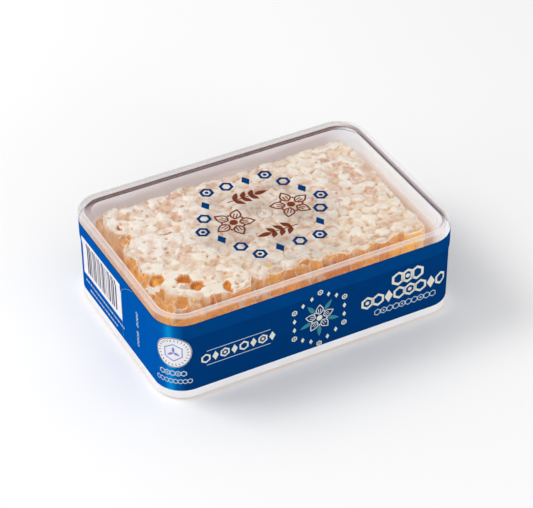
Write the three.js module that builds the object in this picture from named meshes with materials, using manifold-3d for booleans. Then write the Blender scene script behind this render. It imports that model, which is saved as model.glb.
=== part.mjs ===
// Cut honeycomb in a shut clear box: a moulded tray, a telescoping lid, a label wrapped round
// both, and one slab of capped comb standing in the tray.
// Millimetres, +Z up, +X along the long side. The origin is on the table, under the middle of
// the box, and the printed front of the label faces -Y.
import * as THREE from 'three';
import { mergeVertices } from 'three/addons/utils/BufferGeometryUtils.js';
import Module from 'manifold-3d';

const wasm = await Module();
wasm.setup();

// ---- Driving dimensions ----------------------------------------------------------------------

const BOX = {
  length: 116, // over the lid's rim
  width: 79.2,
  height: 36.3,
  cornerRadius: 10.9,
  leastRadius: 1.5, // of an outline drawn far inside the box
  cornerSteps: 8,
};

const LID = {
  skirtBottom: 25.9,
  rimBottom: 33.1,
  rimFlare: 0.4, // height of the slope from the skirt out to the rim
  rimWidth: 2.3,
  rimRise: 0.7, // the rim stands this far above the panel
  rimChamfer: [0.3, 0.25], // width and height of the chamfer on the rim's inner edge
  rimLean: 0.15, // how far that inner edge leans in, down to the panel
  panel: 1.3,
  skirtInset: 0.4, // the skirt's outer face, in from the rim's
  skirtWall: 1.2,
  edgeRadius: 0.8,
  gateRadius: 3.2, // the round mark that the mould's gate leaves at the middle
  gateDepth: 0.25,
  pipRadius: 0.9, // the middle of that mark, level with the panel
  gateSides: 32,
  pipSides: 16,
};

const TRAY = {
  footWidth: 2.4,
  footHeight: 2.2, // the floor's underside is raised by this much inside the foot
  footInset: 0.4, // the foot's outer edge, in from the wall
  footRise: 0.5, // height of the slope from that edge out to the wall
  footLean: 0.4, // how far the foot's inner side leans
  floor: 1.4,
  floorFillet: [[0, 1.6], [0.5, 0.5], [1.6, 0]], // from the wall and from the floor
  wall: 1.4,
  neckWall: 1.3,
  neckTop: 34.0,
  neckChamfer: 0.3,
  shoulder: 25.6,
  shoulderChamfer: 0.2,
  shoulderDepth: 1.3, // the wall is at its full width this far below the shoulder
  outerInset: 0.8, // the outer wall at the foot, in from the rim's outer face
  draft: 0.08, // how much wider the wall stands at the shoulder
  neckGap: 0.15, // between the neck and the lid's skirt
};

const LABEL = {
  bottom: 0.75,
  top: 32.45,
  paper: 0.3,
  clearance: 0.1,
  stepBottom: 24.8, // the label steps out here, under the edge of the lid's skirt
  stepTop: 25.7,
};

const COMB = {
  left: -50.8,
  right: 50.4,
  front: -29.4,
  back: 33.8,
  bottom: 3.7,
  top: 31.6, // the mean height of the cappings
  cornerRadius: 2.2,
  pitch: 5.3, // across the flats of a worker cell
  seed: [-39.3, -14.8], // the centre of one open cell, which fixes the lattice
  columns: [-4, 19], // the cells that are built, counted from that one
  rows: [-5, 12],
  sideStep: 1.3, // spacing of the outline's points
};

const CAP = {
  shoulder: 0.74, // radius of a cap's flat top, as a share of the cell's corner radius
  jitter: 0.38, // caps lie this far above or below the face
  dome: [-0.1, 0.46], // least and greatest rise of a cap's middle over its shoulder
  groove: [0.36, 0.72], // least and greatest depth of the grooves between caps
};

const OPEN_CELL = {
  rim: 0.84, // radius of the wall's inner edge, as a share of the cell's corner radius
  rimDrop: 0.1,
  honey: 0.76, // radius of the honey's edge, as such a share
  honeyDrop: 1.7,
  honeyDip: 0.2, // the honey's middle lies this far below its edge
};

// Lengths of slow waves along x and y, which keep the comb from being regular.
const WANDER_X = { reach: 0.45, x: 21, y: 8.3, start: 0.7 };
const WANDER_Y = { reach: 0.45, x: 10.7, y: 17, start: 2.1 };
const SWELL = { reach: 0.35, x: 16, y: 12, start: [1.1, -0.5] };
const RIPPLE = { reach: 0.25, x: 7.5, y: 9.5 };

// The edge that the knife tore. Reaches along the slab are in pitches of the lattice.
const TORN = {
  openReach: 0.55, // cells whose centres lie this near the front cut stand open
  openFrom: -24, // right of this x
  leftReach: 0.5, // near the left cut some stand open
  leftShare: 0.6,
  cornerReach: 2.6, // and near the front left corner all do
  drop: 2.6, // how far broken cells can fall
  dropStart: 0.2, // millimetres in from the cut
  dropReach: 0.75,
  cornerDropReach: 3.2,
};

// How the cut sides depart from a straight cut.
const CUT = {
  wallRidge: 0.35, // a cell wall stands this far proud
  honeySag: 0.55, // and the honey between two walls lies this far behind
  ridgeStart: 0.62, // where the wall's ridge starts, from 0 at a cell's middle to 1 on its wall
  leftNotches: [{ depth: 3.4, y: 16.5, reach: 5 }, { depth: 1.6, y: -22, reach: 9 }],
  notchEnd: 9, // the notches end this far in from the left cut
  notchFade: 6,
  rightBulge: { depth: 2.0, from: -20, rise: 45, fall: 12 }, // along y, on the right cut
  wave: { depth: 0.35, x: 5.1, y: 4.3 },
};

const TRIM = 10; // a solid that trims another runs this far past it

// ---- Helpers ---------------------------------------------------------------------------------

const lerp = (a, b, t) => a + (b - a) * t;
const clamp01 = (t) => Math.min(1, Math.max(0, t));
const smooth = (t) => clamp01(t) ** 2 * (3 - 2 * clamp01(t));

/** A repeatable number from 0 to 1 for a cell's column, row and purpose. */
function chance(column, row, purpose) {
  let h = Math.imul(column + 101, 374761393) ^ Math.imul(row + 57, 668265263);
  h ^= Math.imul(purpose + 13, 1274126177);
  h = Math.imul(h ^ (h >>> 13), 1103515245);
  h = Math.imul(h ^ (h >>> 16), 374761393);
  return ((h ^ (h >>> 15)) >>> 0) / 2 ** 32;
}

/** The points of a rounded rectangle drawn `inset` inside the box's outline, at height z. */
function ring(inset, z) {
  const radius = Math.max(BOX.cornerRadius - inset, BOX.leastRadius);
  const x = BOX.length / 2 - inset - radius;
  const y = BOX.width / 2 - inset - radius;
  const points = [];
  [[x, y], [-x, y], [-x, -y], [x, -y]].forEach(([cx, cy], quarter) => {
    for (let step = 0; step <= BOX.cornerSteps; step += 1) {
      const angle = (quarter + step / BOX.cornerSteps) * (Math.PI / 2);
      points.push([cx + radius * Math.cos(angle), cy + radius * Math.sin(angle), z]);
    }
  });
  return points;
}

function geometryOf(points, triangles) {
  const geometry = new THREE.BufferGeometry();
  geometry.setAttribute('position', new THREE.Float32BufferAttribute(points.flat(), 3));
  geometry.setIndex(triangles.flat());
  return geometry;
}

/**
 * Carries a profile of [inset, z] points round the box's outline. A closed profile makes a ring.
 * An open one starts and ends with a flat face across the box. The profile runs with the solid
 * on its left when it is seen from the front with its outside to the right.
 */
function sweep(profile, closed) {
  const rings = profile.map(([inset, z]) => ring(inset, z));
  const count = rings[0].length;
  const triangles = [];
  const spans = closed ? profile.length : profile.length - 1;
  for (let level = 0; level < spans; level += 1) {
    const low = level * count;
    const high = ((level + 1) % profile.length) * count;
    for (let i = 0; i < count; i += 1) {
      const next = (i + 1) % count;
      triangles.push([low + i, low + next, high + next], [low + i, high + next, high + i]);
    }
  }
  if (!closed) {
    const last = (profile.length - 1) * count;
    for (let i = 1; i < count - 1; i += 1) {
      triangles.push([0, i + 1, i], [last, last + i, last + i + 1]);
    }
  }
  return geometryOf(rings.flat(), triangles);
}

function solidOf(geometry) {
  const bare = geometry.clone();
  bare.deleteAttribute('normal');
  bare.deleteAttribute('uv');
  const merged = mergeVertices(bare, 1e-4);
  return new wasm.Manifold(new wasm.Mesh({
    numProp: 3,
    vertProperties: new Float32Array(merged.attributes.position.array),
    triVerts: new Uint32Array(merged.index.array),
  }));
}

function geometryFrom(solid) {
  const { vertProperties, triVerts } = solid.getMesh();
  const geometry = new THREE.BufferGeometry();
  geometry.setAttribute('position', new THREE.BufferAttribute(vertProperties, 3));
  geometry.setIndex(new THREE.BufferAttribute(triVerts, 1));
  return geometry;
}

// ---- Box -------------------------------------------------------------------------------------

/** The tray: a foot, a raised floor, a drafted wall, and a neck that the lid slides over. */
function trayGeometry() {
  const shoulderInset = TRAY.outerInset - TRAY.draft;
  const neckOuter = LID.skirtInset + LID.skirtWall + TRAY.neckGap;
  const neckInner = neckOuter + TRAY.neckWall;
  const innerTop = shoulderInset + TRAY.wall;
  const innerBottom = TRAY.outerInset + TRAY.wall;
  const footOuter = TRAY.outerInset + TRAY.footInset;
  const footInner = footOuter + TRAY.footWidth;
  const floorTop = TRAY.footHeight + TRAY.floor;
  return sweep([
    [footInner + TRAY.footLean, TRAY.footHeight],
    [footInner, 0],
    [footOuter, 0],
    [TRAY.outerInset, TRAY.footRise],
    [shoulderInset, TRAY.shoulder - TRAY.shoulderChamfer],
    [shoulderInset + TRAY.shoulderChamfer, TRAY.shoulder],
    [neckOuter, TRAY.shoulder],
    [neckOuter, TRAY.neckTop - TRAY.neckChamfer],
    [neckOuter + TRAY.neckChamfer, TRAY.neckTop],
    [neckInner, TRAY.neckTop],
    [neckInner, TRAY.shoulder - TRAY.shoulderChamfer],
    [innerTop, TRAY.shoulder - TRAY.shoulderDepth],
    ...TRAY.floorFillet.map(([across, up]) => [innerBottom + across, floorTop + up]),
  ], false);
}

/** The lid: a skirt, a rounded rim that stands above the panel, and the gate's round mark. */
function lidGeometry() {
  const top = BOX.height;
  const panelTop = top - LID.rimRise;
  const panelBottom = panelTop - LID.panel;
  const skirtInner = LID.skirtInset + LID.skirtWall;
  const [chamferWidth, chamferHeight] = LID.rimChamfer;
  const arcMiddle = LID.edgeRadius * (1 - Math.SQRT1_2);
  const shell = sweep([
    [skirtInner, panelBottom],
    [skirtInner, LID.skirtBottom],
    [LID.skirtInset, LID.skirtBottom],
    [LID.skirtInset, LID.rimBottom - LID.rimFlare],
    [0, LID.rimBottom],
    [0, top - LID.edgeRadius],
    [arcMiddle, top - arcMiddle],
    [LID.edgeRadius, top],
    [LID.rimWidth - chamferWidth, top],
    [LID.rimWidth, top - chamferHeight],
    [LID.rimWidth + LID.rimLean, panelTop],
  ], false);
  const disc = (radius, sides) => solidOf(
    new THREE.CylinderGeometry(radius, radius, 2 * LID.gateDepth, sides)
      .rotateX(Math.PI / 2).translate(0, 0, panelTop),
  );
  const gate = disc(LID.gateRadius, LID.gateSides).subtract(disc(LID.pipRadius, LID.pipSides));
  return geometryFrom(solidOf(shell).subtract(gate));
}

/** The label: one band of card round the tray and the lid's skirt, with a step between them. */
function labelGeometry() {
  const overSkirt = LID.skirtInset - LABEL.clearance;
  const overShoulder = TRAY.outerInset - TRAY.draft - LABEL.clearance;
  const overFoot = TRAY.outerInset - LABEL.clearance;
  const inside = [
    [overFoot, LABEL.bottom],
    [overShoulder, LABEL.stepBottom],
    [overSkirt, LABEL.stepTop],
    [overSkirt, LABEL.top],
  ];
  const outside = inside.map(([inset, z]) => [inset - LABEL.paper, z]);
  return sweep([...outside, ...inside.reverse()], true);
}

// ---- Comb ------------------------------------------------------------------------------------

const rowPitch = COMB.pitch * Math.sqrt(3) / 2;
const cornerReach = COMB.pitch / Math.sqrt(3);
const CORNER_STEPS = 20; // steps a millimetre, by which cells find the corners that they share

/** Where the lattice's regular point really lies: natural comb wanders a little. */
function wandered(x, y) {
  return [
    x + WANDER_X.reach * Math.sin(y / WANDER_X.y + WANDER_X.start) * Math.cos(x / WANDER_X.x),
    y + WANDER_Y.reach * Math.sin(x / WANDER_Y.x + WANDER_Y.start) * Math.cos(y / WANDER_Y.y),
  ];
}

function cellCentre(column, row) {
  const shift = Math.abs(row % 2) / 2;
  return [
    COMB.seed[0] + (column + shift) * COMB.pitch,
    COMB.seed[1] + row * rowPitch,
  ];
}

/** The slow rise and fall of the capped face. */
function faceHeight(x, y) {
  const swell = Math.sin(x / SWELL.x + SWELL.start[0]) * Math.cos(y / SWELL.y + SWELL.start[1]);
  const ripple = Math.sin(x / RIPPLE.x - y / RIPPLE.y);
  return COMB.top + SWELL.reach * swell + RIPPLE.reach * ripple;
}

/** How far a point lies inside the comb's cut outline: negative outside it. */
function insideBy(x, y) {
  return Math.min(x - COMB.left, COMB.right - x, y - COMB.front, COMB.back - y);
}

/** Cells inside the slab that have lost their caps, by column and row from the seed cell. */
const openCells = new Set(['0,0', '0,-1', '-2,1', '2,-2', '-1,8', '8,-2']);

/** The knife has opened the cells along the front edge, and most of them at the left. */
function isOpen(column, row) {
  const [x, y] = cellCentre(column, row);
  const fromLeft = (x - COMB.left) / COMB.pitch;
  const fromFront = (y - COMB.front) / COMB.pitch;
  const front = fromFront < TORN.openReach && x > TORN.openFrom;
  const corner = fromLeft + fromFront < TORN.cornerReach;
  const left = fromLeft < TORN.leftReach && chance(column, row, 4) < TORN.leftShare;
  return front || corner || left || openCells.has(`${column},${row}`);
}

/** How far a cell near the cut edge has been torn down. */
function tear(column, row) {
  const [x, y] = cellCentre(column, row);
  const fromCorner = (x - COMB.left + y - COMB.front) / COMB.pitch;
  const near = 1 - smooth((insideBy(x, y) - TORN.dropStart) / (COMB.pitch * TORN.dropReach));
  const corner = 1 - smooth(fromCorner / TORN.cornerDropReach);
  return TORN.drop * Math.max(near * chance(column, row, 5) ** 1.5, corner);
}

/** The capped face as a surface: each cell is a cap with a shoulder, or a rim round its honey. */
function faceMesh() {
  const points = [];
  const triangles = [];
  const shared = new Map();
  const add = (x, y, z) => points.push([...wandered(x, y), z]) - 1;

  const corner = (x, y) => {
    const [across, along] = [Math.round(x * CORNER_STEPS), Math.round(y * CORNER_STEPS)];
    const key = `${across},${along}`;
    if (!shared.has(key)) {
      const drop = lerp(...CAP.groove, chance(across, along, 1));
      shared.set(key, add(x, y, faceHeight(x, y) - drop));
    }
    return shared.get(key);
  };

  const cell = (column, row) => {
    const [x, y] = cellCentre(column, row);
    const angles = [0, 1, 2, 3, 4, 5].map((k) => (k + 0.5) * (Math.PI / 3));
    const loop = (share, z) => angles.map((a) => add(
      x + Math.cos(a) * cornerReach * share,
      y + Math.sin(a) * cornerReach * share,
      z,
    ));
    const join = (outer, inner) => outer.forEach((a, k) => {
      const next = (k + 1) % 6;
      triangles.push([a, outer[next], inner[next]], [a, inner[next], inner[k]]);
    });
    const close = (inner, middle) => inner.forEach((a, k) => {
      triangles.push([a, inner[(k + 1) % 6], middle]);
    });

    const level = faceHeight(x, y) - tear(column, row)
      + lerp(-CAP.jitter, CAP.jitter, chance(column, row, 2));
    const corners = angles.map((a) => corner(
      x + Math.cos(a) * cornerReach,
      y + Math.sin(a) * cornerReach,
    ));
    if (isOpen(column, row)) {
      const surface = level - OPEN_CELL.honeyDrop;
      const rim = loop(OPEN_CELL.rim, level - OPEN_CELL.rimDrop);
      const honey = loop(OPEN_CELL.honey, surface);
      join(corners, rim);
      join(rim, honey);
      close(honey, add(x, y, surface - OPEN_CELL.honeyDip));
      return;
    }
    const shoulder = loop(CAP.shoulder, level);
    join(corners, shoulder);
    close(shoulder, add(x, y, level + lerp(...CAP.dome, chance(column, row, 3))));
  };

  const [[firstColumn, lastColumn], [firstRow, lastRow]] = [COMB.columns, COMB.rows];
  for (let row = firstRow; row <= lastRow; row += 1) {
    for (let column = firstColumn; column <= lastColumn; column += 1) {
      cell(column, row);
    }
  }
  return { points, triangles };
}

/** Turns an open surface into a solid by walls down from its rim to a flat base. */
function solidUnder({ points, triangles }, base) {
  const used = new Map();
  triangles.forEach((t) => t.forEach((a, k) => used.set(`${a},${t[(k + 1) % 3]}`, [a, t[(k + 1) % 3]])));
  const rim = [...used.values()].filter(([a, b]) => !used.has(`${b},${a}`));
  const low = new Map();
  rim.forEach(([a]) => {
    low.set(a, points.length);
    points.push([points[a][0], points[a][1], base]);
  });
  const middle = points.push([0, 0, base]) - 1;
  rim.forEach(([a, b]) => {
    triangles.push([b, a, low.get(a)], [b, low.get(a), low.get(b)], [low.get(b), low.get(a), middle]);
  });
  return solidOf(geometryOf(points, triangles));
}

/** How near a point is to a cell's wall: 0 at the middle of a cell, 1 on its wall. */
function wallNearness(x, y) {
  const row = Math.round((y - COMB.seed[1]) / rowPitch);
  const centres = [row - 1, row, row + 1].map((r) => {
    const column = Math.round((x - COMB.seed[0]) / COMB.pitch - Math.abs(r % 2) / 2);
    return cellCentre(column, r);
  });
  const offsets = centres.map(([cx, cy]) => new THREE.Vector2(x - cx, y - cy));
  const [nearest] = offsets.sort((a, b) => a.length() - b.length());
  const across = [0, 1, 2].map((k) => k * (Math.PI / 3))
    .map((angle) => Math.abs(Math.cos(angle) * nearest.x + Math.sin(angle) * nearest.y));
  return Math.min(Math.max(...across) / (COMB.pitch / 2), 1);
}

/** Where the knife wandered: the depth by which the outline is cut back at a point. */
function bitten(x, y) {
  const nearLeft = smooth((COMB.left + CUT.notchEnd - x) / CUT.notchFade);
  const nearRight = smooth((x - COMB.right + CUT.notchEnd) / CUT.notchFade);
  const notches = CUT.leftNotches.map((n) => n.depth * Math.exp(-(((y - n.y) / n.reach) ** 2)));
  const { depth, from, rise, fall } = CUT.rightBulge;
  const bulge = depth * smooth((y - from) / rise) * smooth((COMB.back - y) / fall);
  return nearLeft * (notches[0] + notches[1]) - nearRight * bulge
    + CUT.wave.depth * Math.sin(x / CUT.wave.x + y / CUT.wave.y);
}

/** The cut sides: an upright prism whose outline follows the cell walls and the honey in them. */
function cutPrism() {
  const outline = new THREE.Path();
  const { left, right, front, back, cornerRadius: r } = COMB;
  outline.moveTo(left + r, front).lineTo(right - r, front)
    .absarc(right - r, front + r, r, -Math.PI / 2, 0)
    .lineTo(right, back - r)
    .absarc(right - r, back - r, r, 0, Math.PI / 2)
    .lineTo(left + r, back)
    .absarc(left + r, back - r, r, Math.PI / 2, Math.PI)
    .lineTo(left, front + r)
    .absarc(left + r, front + r, r, Math.PI, Math.PI * 1.5);
  const steps = Math.round(outline.getLength() / COMB.sideStep);
  const points = outline.getSpacedPoints(steps).slice(0, steps).map((p, i, all) => {
    const before = all[(i + steps - 1) % steps];
    const after = all[(i + 1) % steps];
    const outward = new THREE.Vector2(after.y - before.y, before.x - after.x).normalize();
    const wall = smooth((wallNearness(p.x, p.y) - CUT.ridgeStart) / (1 - CUT.ridgeStart));
    const depth = lerp(CUT.honeySag, -CUT.wallRidge, wall) + bitten(p.x, p.y);
    return p.clone().addScaledVector(outward, -depth);
  });
  const height = COMB.top + TRIM - COMB.bottom;
  return new THREE.ExtrudeGeometry(new THREE.Shape(points), { depth: height, bevelEnabled: false })
    .translate(0, 0, COMB.bottom);
}

function combGeometry() {
  const face = solidUnder(faceMesh(), COMB.bottom - TRIM);
  return geometryFrom(face.intersect(solidOf(cutPrism())));
}

// ---- Assembly --------------------------------------------------------------------------------

const clearPlastic = {
  color: 0xe9edf0, roughness: 0.08, metalness: 0, transparent: true, opacity: 0.3,
};

function piece(name, geometry, material) {
  const mesh = new THREE.Mesh(geometry, new THREE.MeshStandardMaterial(material));
  mesh.name = name;
  return mesh;
}

const pack = new THREE.Group();
pack.name = 'honeycomb_in_clear_box';
pack.add(
  piece('tray', trayGeometry(), clearPlastic),
  piece('lid', lidGeometry(), clearPlastic),
  piece('label', labelGeometry(), { color: 0x04509e, roughness: 0.35, metalness: 0 }),
  piece('honeycomb', combGeometry(), { color: 0xe6cdb0, roughness: 0.45, metalness: 0 }),
);

export default pack;
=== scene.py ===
"""Looks for a slab of cut honeycomb in a shut clear box with a blue wrap label.

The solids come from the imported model. This script gives the clear plastic its rounded rims, the
label its card and print, and the comb its caps, torn cells and honey, and adds the floor, the
lights and the camera. Lengths are written in millimetres and turned into metres by MM.
"""
from math import ceil, copysign, cos, pi, radians, sin, sqrt

import bpy
import numpy as np
from mathutils import Matrix, Vector
from mathutils.geometry import delaunay_2d_cdt


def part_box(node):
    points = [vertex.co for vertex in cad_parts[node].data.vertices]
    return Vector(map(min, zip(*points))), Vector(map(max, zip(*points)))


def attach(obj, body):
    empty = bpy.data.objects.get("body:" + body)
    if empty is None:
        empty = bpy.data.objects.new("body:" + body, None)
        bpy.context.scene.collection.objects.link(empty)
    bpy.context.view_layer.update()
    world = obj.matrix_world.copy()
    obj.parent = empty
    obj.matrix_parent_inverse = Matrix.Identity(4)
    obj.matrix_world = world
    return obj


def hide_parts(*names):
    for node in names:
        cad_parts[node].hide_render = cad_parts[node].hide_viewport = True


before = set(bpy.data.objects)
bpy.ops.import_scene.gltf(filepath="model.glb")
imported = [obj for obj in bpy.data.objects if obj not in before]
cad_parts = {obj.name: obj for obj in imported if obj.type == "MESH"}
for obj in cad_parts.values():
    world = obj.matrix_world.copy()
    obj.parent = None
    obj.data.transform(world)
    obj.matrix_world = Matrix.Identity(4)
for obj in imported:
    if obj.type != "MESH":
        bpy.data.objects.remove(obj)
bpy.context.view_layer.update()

MM = 0.001

# ---- Sizes, in millimetres

BOX_LOW, BOX_HIGH = [np.array(corner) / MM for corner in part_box("lid")]
LENGTH, WIDTH, HEIGHT = BOX_HIGH[0] - BOX_LOW[0], BOX_HIGH[1] - BOX_LOW[1], BOX_HIGH[2]
CORNER_RADIUS = 10.9
CORNER_STEPS = 18
QUARTER_TURN = CORNER_RADIUS * pi / 2

SKIRT_BOTTOM = BOX_LOW[2]
RIM_BOTTOM = 33.1
RIM_WIDTH = 2.3
PANEL_TOP = HEIGHT - 0.7
PANEL_BOTTOM = PANEL_TOP - 1.3
SKIRT_OUTER, SKIRT_INNER = 0.4, 1.6
NECK_OUTER = SKIRT_INNER + 0.15
NECK_INNER = NECK_OUTER + 1.3
NECK_TOP = 34.0
SHOULDER, SHOULDER_INSET = 25.6, 0.72
FOOT_INSET = 1.2

LABEL_BOTTOM, LABEL_TOP = 0.75, 32.45
LABEL_BAND = 3.9  # the white lower edge ends here
LABEL_STEP = (23.8, 26.8)  # the paper leans out over the lid's skirt between these heights
PAPER = 0.3
OVER_FOOT, OVER_SHOULDER, OVER_SKIRT = 0.7, 0.62, 0.3  # the label's inner face, as insets
LABEL_BLUE = (0.0004, 0.037, 0.162)
# The lighter blue below paints light on the upper strip, which leans out over the lid's skirt.
LABEL_BLUE_LIT_TOP = (0.0004, 0.048, 0.198)  # where the paper lies on the lid's skirt

COMB_LEFT, COMB_RIGHT, COMB_FRONT, COMB_BACK = -50.8, 50.4, -29.4, 33.8
COMB_BOTTOM, COMB_TOP = 3.7, 31.6
COMB_CORNER = 2.2
MIDRIB = 17.6
PITCH = 5.3
SEED_CELL = (-39.3, -14.8)
ROW_PITCH = PITCH * sqrt(3) / 2
FACE_STEP, UNDERSIDE_STEP = 0.32, 0.8  # spacing of the two faces' grids
UNDERSIDE_RELIEF = 1.1  # how far the lowest caps of the underside reach past its mean level
HONEY_LEVEL = -1.9  # in open cells and holes, over the face
CUT_SOAK = 0.35  # how wet the wax of the cut looks


# ---- Numbers

def smooth(t):
    t = np.clip(t, 0, 1)
    return t * t * (3 - 2 * t)


def bell(distance):
    return np.exp(-distance ** 2)


def blend(first, second, share):
    return first + (second - first) * share


def chance(column, row, purpose):
    """A repeatable number from 0 to 1 for a cell's column, row and purpose."""
    def times(a, b):
        return (a * b) & 0xFFFFFFFF
    h = times(column + 101, 374761393) ^ times(row + 57, 668265263)
    h ^= times(purpose + 13, 1274126177)
    h = times(h ^ (h >> 13), 1103515245)
    h = times(h ^ (h >> 16), 374761393)
    return (h ^ (h >> 15)) / 2 ** 32


def noise(points, size, seed):
    """Smooth noise from -1 to 1 on a lattice of this size, in two or three dimensions."""
    p = np.asarray(points) / size
    base = np.floor(p).astype(np.int64)
    t = smooth(p - base)
    total = 0
    dims = p.shape[1]
    for corner in range(2 ** dims):
        bits = np.array([(corner >> k) & 1 for k in range(dims)])
        key = base + bits
        h = (key * np.array([374761393, 668265263, 2147483647][:dims])).sum(axis=1) + seed * 97531
        h = (h ^ (h >> 13)) * 1274126177
        h = (h ^ (h >> 16)) & 0xFFFFFF
        weight = np.prod(np.where(bits, t, 1 - t), axis=1)
        total = total + weight * (h / 0x7FFFFF - 1)
    return total


def line_noise(along, size, seed):
    """The same noise along a line."""
    return noise(np.column_stack([along, np.full(len(along), 3.7 * seed)]), size, seed)


def pair_share(first, second, purpose):
    """A repeatable number from 0 to 1 for two neighbouring cells, in either order."""
    mixed = (first + second) * 7919 + np.abs(first - second) * 104729 + purpose * 31337
    return ((mixed ^ (mixed >> 7)) * 2654435761 % 1009) / 1009


def unit(rows):
    """Each row as a vector of length 1."""
    return rows / np.linalg.norm(rows, axis=1)[:, None]


def blurred(grid, reach):
    """A grid of numbers smoothed over this many steps each way."""
    span = 2 * reach + 1
    for axis in (0, 1, 0, 1):
        pad = [(0, 0), (0, 0)]
        pad[axis] = (reach + 1, reach)
        total = np.cumsum(np.pad(grid, pad, mode="edge"), axis=axis)
        low = np.arange(grid.shape[axis])
        grid = (total.take(low + span, axis) - total.take(low, axis)) / span
    return grid


# ---- Mesh helpers

def placed(name, data):
    """Puts a mesh, a light or a camera in the scene."""
    made = bpy.data.objects.new(name, data)
    bpy.context.scene.collection.objects.link(made)
    return made


def piece(name, vertices, faces, materials, kinds=None, smooth_deg=40, replaces=None):
    """A mesh object in metres from vertices in millimetres, riding on the pack's one body."""
    mesh = bpy.data.meshes.new(name)
    mesh.from_pydata((np.asarray(vertices) * MM).tolist(), [], faces)
    mesh.validate()
    for material in materials:
        mesh.materials.append(material)
    if kinds is not None:
        mesh.polygons.foreach_set("material_index", np.asarray(kinds, dtype=np.int32))
    mesh.shade_smooth()
    mesh.set_sharp_from_angle(angle=radians(smooth_deg))
    mesh.update()
    made = placed(name, mesh)
    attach(made, "root")
    if replaces:
        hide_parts(replaces)
    return made


def paint(made, **layers):
    """Keeps a number for each vertex under each name, or one for all, for the materials to read."""
    for name, values in layers.items():
        layer = made.data.attributes.new(name, "FLOAT", "POINT")
        layer.data.foreach_set("value", np.full(len(made.data.vertices), values, np.float32))


def ring(inset, z):
    """Points of the box's rounded outline, drawn this far inside it, at height z."""
    radius = max(CORNER_RADIUS - inset, 1.5)
    x, y = LENGTH / 2 - inset - radius, WIDTH / 2 - inset - radius
    points = []
    for quarter, (cx, cy) in enumerate([(x, y), (-x, y), (-x, -y), (x, -y)]):
        for step in range(CORNER_STEPS + 1):
            angle = (quarter + step / CORNER_STEPS) * pi / 2
            points.append((cx + radius * cos(angle), cy + radius * sin(angle), z))
    return points


def rounded(rows, steps=5):
    """Rounds a profile's corners. A row is (inset, z, corner radius, numbers carried along)."""
    rows = [(np.array([inset, z, *carried]), radius) for inset, z, radius, *carried in rows]
    result = [rows[0][0]]
    for (before, _), (here, radius), (after, _) in zip(rows, rows[1:], rows[2:]):
        if radius == 0:
            result.append(here)
            continue
        back, on = before - here, after - here
        length_back, length_on = np.linalg.norm(back[:2]), np.linalg.norm(on[:2])
        start = here + back * min(radius / length_back, 0.45)
        end = here + on * min(radius / length_on, 0.45)
        for t in np.linspace(0, 1, steps + 1):
            result.append((1 - t) ** 2 * start + 2 * t * (1 - t) * here + t ** 2 * end)
    return np.array(result + [rows[-1][0]])


def bands(low, high):
    """Faces between rows of vertex numbers that run round."""
    corners = [low, np.roll(low, -1, axis=1), np.roll(high, -1, axis=1), high]
    return np.stack(corners, axis=-1).reshape(-1, 4).tolist()


def with_ends(index):
    """Faces between all rows of vertex numbers, and a flat one at each end."""
    return bands(index[:-1], index[1:]) + [index[0][::-1].tolist(), index[-1].tolist()]


def sweep(profile, closed):
    """Carries (inset, z) rows round the box, as a closed ring or as a shell with flat ends."""
    vertices = np.vstack([ring(inset, z) for inset, z in profile])
    index = np.arange(len(vertices)).reshape(len(profile), -1)
    return vertices, bands(index, np.roll(index, -1, axis=0)) if closed else with_ends(index)


# ---- Materials

class Look:
    """A material while its nodes are put together. Inputs are plain values or other outputs."""

    def __init__(self, name):
        self.material = bpy.data.materials.new(name)
        self.material.use_nodes = True
        self.tree = self.material.node_tree
        self.tree.nodes.clear()
        self.output = self.tree.nodes.new("ShaderNodeOutputMaterial")

    def feed(self, socket, value):
        if isinstance(value, bpy.types.NodeSocket):
            self.tree.links.new(value, socket)
        else:
            socket.default_value = (*value, 1) if socket.type == "RGBA" else value

    def node(self, kind, inputs=None, **settings):
        made = self.tree.nodes.new("ShaderNode" + kind)
        for key, value in settings.items():
            setattr(made, key, value)
        for key, value in (inputs or {}).items():
            self.feed(made.inputs[key], value)
        return made

    def done(self, shader):
        self.tree.links.new(shader.outputs[0], self.output.inputs["Surface"])
        return self.material

    def surface(self, **inputs):
        """Ends the material with one plain surface. The inputs' names are written with _ for space."""
        named = {key.replace("_", " "): value for key, value in inputs.items()}
        return self.done(self.node("BsdfPrincipled", named))

    def mix(self, factor, first, second, blend_type="MIX"):
        inputs = {0: factor, 6: first, 7: second}
        return self.node("Mix", inputs, data_type="RGBA", blend_type=blend_type).outputs[2]

    def maths(self, operation, first, second, clamp=False):
        inputs = {0: first, 1: second}
        return self.node("Math", inputs, operation=operation, use_clamp=clamp).outputs[0]

    def ramp(self, value, low, high, out_low=0.0, out_high=1.0):
        return self.node("MapRange", {"Value": value, "From Min": low, "From Max": high,
                                      "To Min": out_low, "To Max": out_high}).outputs["Result"]

    def axes(self, kind):
        """x, y and z of the surface's place ("Object") or of the way it faces ("Normal")."""
        return self.node("SeparateXYZ", {0: self.node("TexCoord").outputs[kind]}).outputs

    def held(self, key):
        """A number that the mesh's vertices hold."""
        return self.node("Attribute", attribute_name=key).outputs["Fac"]

    def noise(self, size, detail, roughness=0.5):
        """Noise whose features are about this many millimetres across."""
        where = self.node("TexCoord").outputs["Object"]
        return self.node("TexNoise", {"Vector": where, "Scale": 1 / (size * MM), "Detail": detail,
                                      "Roughness": roughness}).outputs["Fac"]

    def bump(self, height, depth, strength):
        return self.node("Bump", {"Height": height, "Distance": depth * MM,
                                  "Strength": strength}).outputs["Normal"]

    def card_grain(self):
        return self.bump(self.noise(0.6, 3.0), 0.02, 0.3)


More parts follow.
